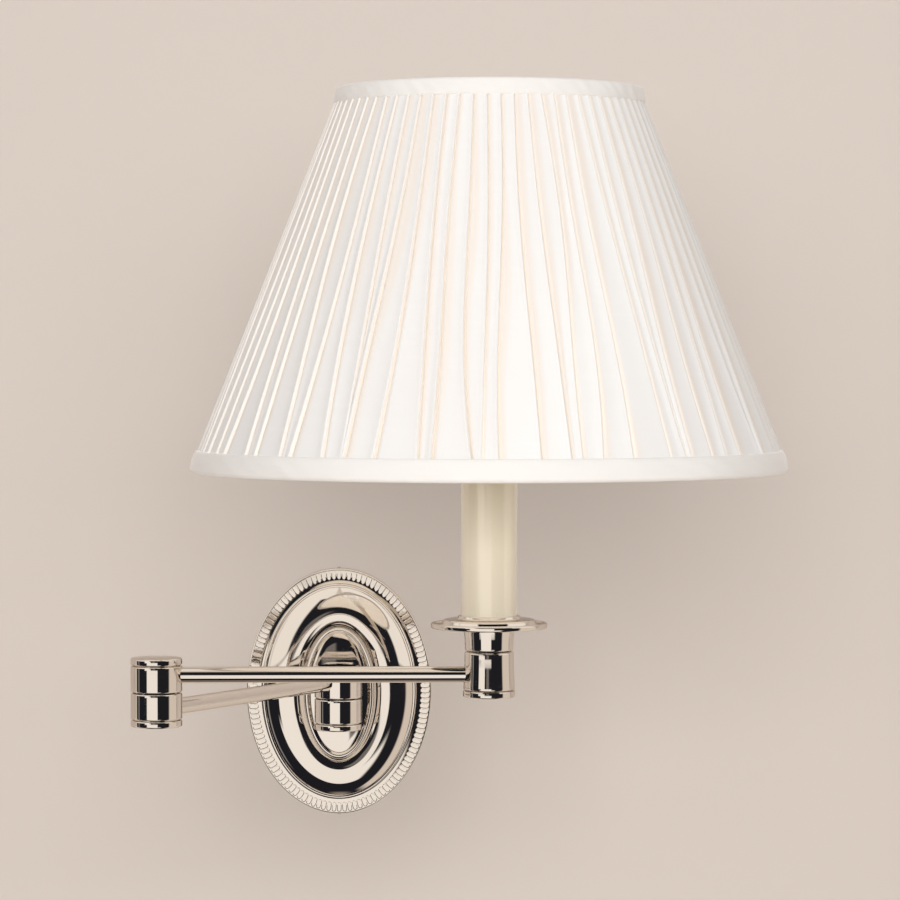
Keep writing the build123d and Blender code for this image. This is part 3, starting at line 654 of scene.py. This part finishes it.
# %% A sheet closed into a ring
def cloth_ring(name, columns, rows, place, cloth_width, cloth_length, thickness):
    points = [place(column, row / rows) for row in range(rows + 1) for column in range(columns)]
    faces = []
    map_points = []
    for row in range(rows):
        for column in range(columns):
            after = (column + 1) % columns
            low, high = row * columns, (row + 1) * columns
            faces.append((low + column, low + after, high + after, high + column))
            left, right = column / columns * cloth_width, (column + 1) / columns * cloth_width
            foot_line, head_line = row / rows * cloth_length, (row + 1) / rows * cloth_length
            map_points += [(left, foot_line), (right, foot_line), (right, head_line), (left, head_line)]
    mesh = bpy.data.meshes.new(name)
    mesh.from_pydata(points, [], faces)
    layer = mesh.uv_layers.new(name="cloth")
    for corner, place_on_map in zip(layer.data, map_points):
        corner.uv = place_on_map
    piece = bpy.data.objects.new(name, mesh)
    bpy.context.scene.collection.objects.link(piece)
    area = sum(face.area for face in mesh.polygons)
    bpy.ops.object.select_all(action="DESELECT")
    piece.select_set(True)
    bpy.context.view_layer.objects.active = piece
    weave = piece.modifiers.new("weave", "SOLIDIFY")
    weave.thickness = thickness * MM
    weave.offset = -1
    bpy.ops.object.modifier_apply(modifier=weave.name)
    print(name, "cloth area", round(area, 4), "m2")
    return piece, area


# %% Measures of the folds
# The ends of the cover are given as height and radius, in millimetres.
COVER_BASE = (137.0, 148.05)
COVER_TOP = (316.0, 77.5)
COVER_SLANT = math.dist(COVER_BASE, COVER_TOP) * MM
COVER_ROWS = 32
SILK_THICKNESS = 0.25
# The depth of a pleat, as a share of the radius.
PLEAT_SHARE = 0.021
# One pleat from valley to valley: the share of its width, and how high the cloth stands there.
FOLD = (
    (0.000, 0.00), (0.025, 0.28), (0.055, 0.54), (0.095, 0.70), (0.15, 0.745), (0.25, 0.705),
    (0.40, 0.655), (0.55, 0.665), (0.68, 0.735), (0.78, 0.835), (0.85, 0.925), (0.895, 0.985),
    (0.925, 1.00), (0.95, 0.92), (0.97, 0.70), (0.986, 0.36),
)
FOLD_EDGE = 0.925
# How far a fold strays, in pleats, and how it goes flat toward the bottom.
WANDER_REACH = 0.56
SWAY_REACH = 0.2
DRIFT_REACH = 0.12
DRIFT_AWAY = 31
FLAT_LIFT = 0.82
FLAT_MOST = 0.85
EASE_POWER = 2.2
FOLD_SEED = 11
dice = random.Random(FOLD_SEED)
wander = [dice.uniform(-1, 1) for _ in range(PLEATS)]
sway = [dice.uniform(-1, 1) for _ in range(PLEATS)]
flatness = [max(0.0, dice.uniform(-1.0, FLAT_MOST)) for _ in range(PLEATS)]
print("pleats", PLEATS, "of them going flat", sum(flat > 0 for flat in flatness))


# %% Folds of the cover
def eased(values, place):
    left = math.floor(place)
    share = place - left
    share = share * share * (3 - 2 * share)
    return values[left % PLEATS] * (1 - share) + values[(left + 1) % PLEATS] * share


def cover_point(column, rise):
    pleat, step = divmod(column, len(FOLD))
    across, lift = FOLD[step]
    place = pleat + across
    own = place + 1 - FOLD_EDGE
    ease = (1 - rise) ** EASE_POWER
    moved = place + WANDER_REACH * ease * eased(wander, own)
    moved += SWAY_REACH * math.sin(math.pi * rise) * eased(sway, own)
    moved += DRIFT_REACH * math.sin(2 * math.pi * rise) * eased(wander, place + DRIFT_AWAY - FOLD_EDGE)
    lift += ease * eased(flatness, own) * (FLAT_LIFT - lift)
    height = COVER_BASE[0] + (COVER_TOP[0] - COVER_BASE[0]) * rise
    crest = COVER_BASE[1] + (COVER_TOP[1] - COVER_BASE[1]) * rise
    radius = crest * (1 - PLEAT_SHARE * (1 - lift))
    angle = 2 * math.pi * moved / PLEATS
    return LAMP_AXIS + Vector((radius * math.cos(angle), radius * math.sin(angle), height)) * MM


cover, cover_area = cloth_ring(
    "silk_cover", PLEATS * len(FOLD), COVER_ROWS, cover_point, CLOTH_ROUND, COVER_SLANT, SILK_THICKNESS
)
finish_piece(cover, "upper_arm", pleated_silk, SMOOTH_FOLDS)
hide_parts("shade_cover")

# %% [markdown]
# ## Bound edges
# Top and bottom, the raw ends of the pleats are covered by a folded band of the same silk. It is soft, so
# its face swells a little, its edges are round, and it puckers where it is drawn round the curve. A curve
# with a round section would be too plain for that, so a closed outline is spun round the axis, and its
# points are then nudged in and out by a smooth noise.

# %% Bands round the mouth and the base
BAND_ROUND = 0.7
BAND_STEPS = 256
PUCKERS = 21
PUCKER_HEIGHT = 8 * MM
PUCKER_SLANT = 80 * MM
SWELLS = 5
SWELL_SHARE = 0.8


def bound_edge(name, outline, pucker, seed, node):
    band = turned_piece(name, LAMP_AXIS, outline, BAND_ROUND, BAND_STEPS)
    for vertex in band.data.vertices:
        spot = vertex.co - LAMP_AXIS
        angle = math.atan2(spot.y, spot.x)
        reach = math.hypot(spot.x, spot.y)
        slant = angle + spot.z / PUCKER_SLANT
        level = spot.z / PUCKER_HEIGHT + seed
        soft = noise.noise(Vector((PUCKERS * math.cos(slant), PUCKERS * math.sin(slant), level)))
        broad = noise.noise(Vector((SWELLS * math.cos(angle), SWELLS * math.sin(angle), seed)))
        push = (soft + SWELL_SHARE * broad) * pucker * MM / reach
        vertex.co += Vector((spot.x, spot.y, 0)) * push
    layer = band.data.uv_layers.new(name="cloth")
    for loop, corner in zip(band.data.loops, layer.data):
        spot = band.data.vertices[loop.vertex_index].co - LAMP_AXIS
        corner.uv = (math.atan2(spot.y, spot.x) * outline[1][0] * MM, spot.z)
    finish_piece(band, "upper_arm", bound_edge_silk, SMOOTH_CLOTH)
    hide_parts(node)
    return band


# Radius and height of each corner of a band, in millimetres.
base_outline = [
    (145.6, 129.6), (147.6, 128.5), (149.6, 128.7), (150.5, 130.0), (150.3, 132.5), (149.6, 135.5),
    (148.7, 138.4), (147.9, 139.6), (146.6, 139.9), (145.2, 138.0), (145.0, 133.0),
]
mouth_outline = [
    (75.0, 316.0), (76.2, 313.3), (77.6, 313.1), (78.4, 313.8), (78.4, 316.0), (78.0, 318.5),
    (77.4, 320.8), (76.3, 321.8), (75.0, 321.7), (74.3, 320.6), (74.3, 317.5),
]
base_band = bound_edge("base_band", base_outline, pucker=0.62, seed=3.7, node="shade_bottom_trim")
mouth_band = bound_edge("mouth_band", mouth_outline, pucker=0.5, seed=8.1, node="shade_top_trim")

# %% [markdown]
# ## Lining
# Inside the frame is a plain lining, stretched from ring to ring over the struts. A plain cone would
# nearly do, but tight cloth stands a hair prouder at each strut and sinks a little between them, and it
# ripples near the bottom ring. So the lining is laid out point by point like the cover.

# %% The stretched lining
low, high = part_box("shade_lining")
LINING_FOOT = low.z / MM
LINING_HEAD = high.z / MM
LINING_FREE = 0.35
LINING_WIDE = (high.x - low.x) / 2 / MM - LINING_FREE
LINING_LEAN = 0.3774
LINING_SLANT = (high.z - low.z) * math.hypot(1, LINING_LEAN)
LINING_ROUND = 0.67
LINING_COLUMNS = 288
LINING_ROWS = 20
LINING_THICKNESS = 0.3
STRUTS = 6
SINK_DEPTH = 0.9
RIPPLE_DEPTH = 0.25
RIPPLES = 47
HELD_EDGE = 0.08


def lining_point(column, rise):
    angle = 2 * math.pi * column / LINING_COLUMNS
    height = LINING_FOOT + (LINING_HEAD - LINING_FOOT) * rise
    radius = LINING_WIDE - LINING_LEAN * (height - LINING_FOOT)
    sink = 1 - abs(math.cos(STRUTS / 2 * angle)) ** 0.5
    ripple = RIPPLE_DEPTH * math.sin(RIPPLES * angle) * (1 - rise) ** 2
    loose = math.sin(math.pi * (HELD_EDGE + (1 - 2 * HELD_EDGE) * rise))
    radius -= (SINK_DEPTH * sink + ripple) * loose
    return LAMP_AXIS + Vector((radius * math.cos(angle), radius * math.sin(angle), height)) * MM


lining, lining_area = cloth_ring(
    "stretched_lining",
    LINING_COLUMNS,
    LINING_ROWS,
    lining_point,
    LINING_ROUND,
    LINING_SLANT,
    LINING_THICKNESS,
)
finish_piece(lining, "upper_arm", lining_cloth, SMOOTH_CLOTH)
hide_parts("shade_lining")

# %% [markdown]
# ## Cloth sizes
# Before they are sewn, cover and lining are flat cloth. The length of each flat piece is the slant from
# ring to ring, and its width is the area of the modelled cloth divided by that slant. The width could be
# worked out from the folds, but measuring the finished mesh is surer.

# %% Flat sizes of cover and lining
print("cover cut", round(cover_area / COVER_SLANT, 3), "by", round(COVER_SLANT, 3), "m")
print("lining cut", round(lining_area / LINING_SLANT, 3), "by", round(LINING_SLANT, 3), "m")

# %% [markdown]
# ## Pivot knuckles
# Each pivot is a short cylinder, split at mid height, with a cap on each end. The eye reads the thin dark
# lines between them and the bright threads of light along their edges, so every edge is rounded.
# Cylinders with a bevel would do as well, but an outline keeps all edges of a piece in one drawing.
# Halves and caps are turned as sleeves round the solids that stay inside them: spindle, washers, nut and
# stop pin.

# %% Halves and caps
KNUCKLE_RADIUS = 13.0
KNUCKLE_SLEEVE = 11.75
KNUCKLE_END = 17.4
CAP_LINE = (13.45, 13.95)
SPLIT = 0.3
JOINT_CHAMFER = 0.4
END_CHAMFER = 0.6
CAP_PLUG = 0.7
KNUCKLE_ROUND = 0.25
# A point this far from each end keeps reflections straight along the side.
FLAT_SUPPORT = 2

half_outline = [
    (KNUCKLE_SLEEVE, SPLIT),
    (KNUCKLE_RADIUS - JOINT_CHAMFER, SPLIT),
    (KNUCKLE_RADIUS, SPLIT + JOINT_CHAMFER),
    (KNUCKLE_RADIUS, SPLIT + FLAT_SUPPORT),
]
half_outline += [(radius, SPLIT + CAP_LINE[0] - height) for radius, height in reversed(half_outline)]
cap_outline = [
    (0, CAP_LINE[1] - CAP_PLUG),
    (KNUCKLE_SLEEVE, CAP_LINE[1] - CAP_PLUG),
    (KNUCKLE_SLEEVE, CAP_LINE[1]),
    (KNUCKLE_RADIUS - JOINT_CHAMFER, CAP_LINE[1]),
    (KNUCKLE_RADIUS, CAP_LINE[1] + JOINT_CHAMFER),
    (KNUCKLE_RADIUS, KNUCKLE_END - END_CHAMFER),
    (KNUCKLE_RADIUS - END_CHAMFER, KNUCKLE_END),
    (0, KNUCKLE_END),
]


def knuckle_piece(name, outline, axis, side, body, node):
    points = [(radius, side * height) for radius, height in outline]
    piece = turned_piece(name, axis, points, KNUCKLE_ROUND)
    finish_piece(piece, body, polished_nickel, SMOOTH_TURNED)
    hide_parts(node)


knuckle_piece("wall_half_lower", half_outline, WALL_AXIS, -1, "wall_mount", "wall_knuckle_base")
knuckle_piece("wall_half_upper", half_outline, WALL_AXIS, 1, "lower_arm", "wall_knuckle_top")
knuckle_piece("elbow_half_lower", half_outline, ELBOW_AXIS, -1, "lower_arm", "elbow_knuckle_lower")
knuckle_piece("elbow_half_upper", half_outline, ELBOW_AXIS, 1, "upper_arm", "elbow_knuckle_upper")
knuckle_piece("wall_cap_lower", cap_outline, WALL_AXIS, -1, "wall_mount", "wall_bottom_cap")
knuckle_piece("wall_cap_upper", cap_outline, WALL_AXIS, 1, "lower_arm", "wall_top_cap")
knuckle_piece("elbow_cap_lower", cap_outline, ELBOW_AXIS, -1, "lower_arm", "elbow_bottom_cap")
knuckle_piece("elbow_cap_upper", cap_outline, ELBOW_AXIS, 1, "upper_arm", "elbow_top_cap")

# %% [markdown]
# ## Lamp end
# Under the candle are turned pieces: a drip pan with a rolled lip and a raised step, a cup that opens
# toward the top, and a knuckle that widens gently toward its cap. Stacked cylinders would miss the lip
# and the gentle curves, so each piece is drawn as an outline with its corners rounded, then spun. Its
# edges then catch thin lines of light.

# %% Drip pan, cup, knuckle and cap
LAMP_ROUND = 0.4
LAMP_STEPS = 160
# Radius and height of each corner, in millimetres.
turned_outlines = {
    "rolled_pan": [
        (5.1, 51.4), (12.0, 49.2), (16.0, 49.2), (24.0, 49.7), (28.4, 49.5), (29.4, 49.9), (29.5, 51.9),
        (28.8, 52.4), (27.6, 52.1), (26.8, 51.4), (24.4, 51.4), (23.6, 51.9), (23.4, 53.5), (22.6, 54.1),
        (17.0, 54.2), (16.0, 54.5), (15.6, 56.0), (14.35, 56.0), (14.35, 53.55), (5.1, 53.55),
    ],
    "open_cup": [
        (9.0, 38.3), (11.6, 38.3), (12.2, 38.7), (12.25, 41.0), (12.45, 44.5), (12.8, 48.0),
        (12.95, 49.15), (9.0, 49.15),
    ],
    "lamp_body": [
        (10.0, 18.45), (12.9, 18.45), (13.0, 19.5), (12.85, 22.0), (12.65, 26.0), (12.5, 30.0),
        (12.45, 34.0), (12.4, 37.2), (11.6, 37.9), (10.0, 37.9),
    ],
    "lamp_cap": [
        (0, 18.2), (12.0, 18.2), (12.0, 17.95), (13.2, 17.95), (13.25, 15.2), (12.7, 14.7), (0, 14.7),
    ],
}
turned_nodes = {
    "rolled_pan": "drip_pan",
    "open_cup": "candle_cup",
    "lamp_body": "lamp_knuckle",
    "lamp_cap": "lamp_bottom_cap",
}
for name, outline in turned_outlines.items():
    piece = turned_piece(name, LAMP_AXIS, outline, LAMP_ROUND, LAMP_STEPS)
    finish_piece(piece, "upper_arm", polished_nickel, SMOOTH_TURNED)
    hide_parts(turned_nodes[name])

# %% [markdown]
# ## Backdrop
# In the photo the light hangs on a beige wall. Here a warm beige sweep stands well behind the wall plane
# and curves into a pale floor. A wall right behind the plate would be truer, but the shade would run into
# it at the ends of the swing. The sweep is see-through from behind, so the light can be looked at from
# every side, and its floor is clear to mirrored rays, so that the metal shows the studio below instead.

# %% Backdrop sweep
BACKDROP_Y = 0.42
FLOOR_Z = -0.62
SWEEP_HALF = 2.6
SWEEP_ROUND = 0.5
SWEEP_SEGMENTS = 24

bpy.ops.object.select_all(action="DESELECT")
bpy.ops.mesh.primitive_plane_add(size=2 * SWEEP_HALF, location=(0, BACKDROP_Y - SWEEP_HALF, FLOOR_Z))
sweep = bpy.context.object
sweep.name = "sweep"
bpy.ops.object.mode_set(mode="EDIT")
bpy.ops.mesh.select_all(action="DESELECT")
bpy.ops.object.mode_set(mode="OBJECT")
for edge in sweep.data.edges:
    edge.select = all(sweep.data.vertices[corner].co.y > 0 for corner in edge.vertices)
bpy.ops.object.mode_set(mode="EDIT")
bpy.ops.mesh.select_mode(type="EDGE")
bpy.ops.mesh.extrude_region_move(TRANSFORM_OT_translate={"value": (0, 0, 2 * SWEEP_HALF)})
bpy.ops.object.mode_set(mode="OBJECT")
for edge in sweep.data.edges:
    ends = [sweep.data.vertices[corner].co for corner in edge.vertices]
    edge.select = all(end.y > 0 and end.z < SWEEP_HALF / 2 for end in ends)
bpy.ops.object.mode_set(mode="EDIT")
bpy.ops.mesh.bevel(offset=SWEEP_ROUND, segments=SWEEP_SEGMENTS, affect="EDGES")
bpy.ops.mesh.select_mode(type="VERT")
bpy.ops.mesh.select_all(action="SELECT")
bpy.ops.mesh.normals_make_consistent(inside=False)
bpy.ops.object.mode_set(mode="OBJECT")
facing = sweep.data.polygons[0].normal
if facing.z - facing.y < 0:
    bpy.ops.object.mode_set(mode="EDIT")
    bpy.ops.mesh.select_all(action="SELECT")
    bpy.ops.mesh.flip_normals()
    bpy.ops.object.mode_set(mode="OBJECT")
bpy.ops.object.shade_smooth()
bpy.ops.object.transform_apply(location=True, rotation=True, scale=True)
print("sweep", len(sweep.data.polygons), "faces")

# %% Backdrop finish
SWEEP_DARK = (0.766, 0.70, 0.645, 1)
SWEEP_LIGHT = (0.806, 0.741, 0.686, 1)
SWEEP_DRIFT = 1.3
FLOOR_TOP = FLOOR_Z + 0.15
WALL_FOOT = FLOOR_Z + 0.45

sweep_paint, sweep_shader, sweep_place, _ = new_finish("sweep_paint")
feed(sweep_shader, sweep_place.noise(SWEEP_DRIFT, 1.0).blend(SWEEP_DARK, SWEEP_LIGHT), "Base Color")
set_numbers(sweep_shader, Roughness=0.9, Specular_IOR_Level=0.1)
tree = sweep_paint.node_tree
from_behind = Value(tree, tree.nodes.new("ShaderNodeNewGeometry").outputs["Backfacing"])
mirrored = Value(tree, tree.nodes.new("ShaderNodeLightPath").outputs["Is Glossy Ray"])
height = sweep_place.out(sweep_place.node("ShaderNodeSeparateXYZ", None, Vector=sweep_place), 2)
on_floor = 1 - height.ease(FLOOR_TOP, WALL_FOOT)
clear = tree.nodes.new("ShaderNodeBsdfTransparent")
mixed = tree.nodes.new("ShaderNodeMixShader")
unseen = from_behind.maths("MAXIMUM", from_behind, mirrored * on_floor)
tree.links.new(unseen.socket, mixed.inputs[0])
tree.links.new(sweep_shader.outputs[0], mixed.inputs[1])
tree.links.new(clear.outputs[0], mixed.inputs[2])
tree.links.new(mixed.outputs[0], tree.nodes["Material Output"].inputs["Surface"])
sweep.data.materials.append(sweep_paint)
print("sweep painted", sweep_paint.name)

# %% [markdown]
# ## Studio
# Polished metal shows the room it stands in. Cards and walls could be built round the light, but they
# would stand in the way of a camera on another side. So the room is painted in the world, by direction: a
# cream card low in front, pale walls above to both sides, a dark opening in front, dark flags left and
# right and a beige wall behind. Only mirrored rays see it. Cloth and wall get a plain even fill instead.

# %% Directions in the studio
DEGREES = 180 / math.pi
world = bpy.data.worlds.new("studio")
bpy.context.scene.world = world
world.use_nodes = True
tree = world.node_tree
background = tree.nodes["Background"]
direction = Value(tree, tree.nodes.new("ShaderNodeTexCoord").outputs["Generated"])
path = tree.nodes.new("ShaderNodeLightPath")
axes = direction.node("ShaderNodeSeparateXYZ", None, Vector=direction)
east, north, up = (direction.out(axes, index) for index in range(3))
turn = direction.maths("ARCTAN2", east, -1.0 * north) * DEGREES
rise = direction.maths("ARCSINE", up) * DEGREES
aside = direction.maths("ARCCOSINE", -1.0 * north) * DEGREES
print("world", world.name)

# %% Cards and walls of the studio
# All angles are in degrees: turn goes round from straight in front, rise goes up from level, and aside is
# the angle away from straight in front. The third number of `between` is the softness of the edges.
behind = (1 - turn.between(-95, 62, 4)) * rise.ease(-75, -60)
back_ceiling = (1 - turn.between(-100, 100, 4)) * rise.ease(15, 30)
opening = turn.between(-30, 46, 3) * (1 - rise.ease(44, 48))
upper = turn.between(-100, 100, 4) * rise.ease(2, 5) * (1 - opening)
middle = turn.between(-7, 7, 4) * rise.ease(41, 46)
card = turn.between(-40, 8, 1.0) * rise.between(-60, -3.0, 1.0)
table = turn.between(-70, 24, 4) * rise.between(-60, -15, 3)
below = 1 - rise.ease(-88, -76)
flag_gap = turn.between(-50, -22, 1.0) * rise.between(-4, 3.0, 1.0)
strip = turn.between(-14, -3, 1.5) * rise.between(-3, 5, 1.5)
streak = turn.between(-84, -79, 1.2) * rise.between(-40, 30, 6)
front = card.maths("MAXIMUM", card, table) * (1 - aside.ease(48, 50))
pale = front.maths("MAXIMUM", front, flag_gap)
print("studio areas ready")

# %% Colours of the studio
DARK_ROOM = (0.014, 0.014, 0.018, 1)
EVEN_FILL = (0.435, 0.414, 0.402, 1)
PALE_BACKGROUND = (0.80, 0.74, 0.67, 1)
painted = (
    (behind, (0.74, 0.645, 0.56, 1)),
    (back_ceiling, (0.58, 0.50, 0.43, 1)),
    (upper, (0.97, 0.91, 0.84, 1)),
    (middle, (0.66, 0.58, 0.50, 1)),
    (0.45 * strip, (0.40, 0.36, 0.33, 1)),
    (0.5 * streak, (0.55, 0.52, 0.50, 1)),
    (below, (0.30, 0.25, 0.21, 1)),
    (pale, (1.0, 0.945, 0.885, 1)),
)
studio = DARK_ROOM
for area, colour in painted:
    studio = area.blend(studio, colour)
glossy = Value(tree, path.outputs["Is Glossy Ray"])
seen = Value(tree, path.outputs["Is Camera Ray"])
fill = glossy.blend(EVEN_FILL, studio)
tree.links.new(seen.blend(fill, PALE_BACKGROUND).socket, background.inputs["Color"])
print("studio painted in", len(painted), "layers")

# %% [markdown]
# ## Lamps and camera
# Three soft lamps in front light the shade and throw faint shadows to both sides of it, and one above
# lights its top. One lamp alone in front would leave the wall beside the shade too pale. The metal does
# not mirror the lamps, since the studio already holds what it shows. The camera has a long lens and
# stands a little above the arms, as the photographer did.

# %% Lamps
LAMP_WHITE = (1.0, 0.99, 0.98)
FRONT_LAMPS = {
    "front_lamp_left": (-0.43, 5.8),
    "front_lamp": (0.02, 15.7),
    "front_lamp_right": (0.47, 5.8),
}
FRONT_Y = -2.3
FRONT_Z = 0.46
FRONT_AIM = (0.06, -0.15, 0.13)
FRONT_SIZE = 0.50
TOP_PLACE = (0.15, -0.9, 1.9)
TOP_AIM = (0.05, -0.15, 0.10)
TOP_SIZE = 1.2
TOP_WATTS = 4.5


def soft_lamp(name, place, aim, size, watts):
    bpy.ops.object.light_add(type="AREA", location=place)
    lamp = bpy.context.object
    lamp.name = name
    lamp.data.size = size
    lamp.data.energy = watts
    lamp.data.color = LAMP_WHITE
    lamp.rotation_mode = "QUATERNION"
    lamp.rotation_quaternion = (Vector(aim) - Vector(place)).to_track_quat("-Z", "Y")
    lamp.visible_glossy = False


for name, (side, watts) in FRONT_LAMPS.items():
    soft_lamp(name, (side, FRONT_Y, FRONT_Z), FRONT_AIM, FRONT_SIZE, watts)
soft_lamp("top_lamp", TOP_PLACE, TOP_AIM, TOP_SIZE, TOP_WATTS)
print("lamps", len(FRONT_LAMPS) + 1)

# %% Camera
CAMERA_PLACE = (0.0235, -1.950, 0.1925)
CAMERA_AIM = (0.0582, -0.1848, 0.1396)
LENS = 140
SENSOR = 36

bpy.ops.object.camera_add(location=CAMERA_PLACE)
camera = bpy.context.object
camera.data.lens = LENS
camera.data.sensor_width = SENSOR
camera.rotation_mode = "QUATERNION"
view = Vector(CAMERA_AIM) - camera.location
camera.rotation_quaternion = view.to_track_quat("-Z", "Y")
bpy.context.scene.camera = camera
bpy.context.scene.view_settings.view_transform = "Standard"
print("camera looks", [round(part, 3) for part in view])
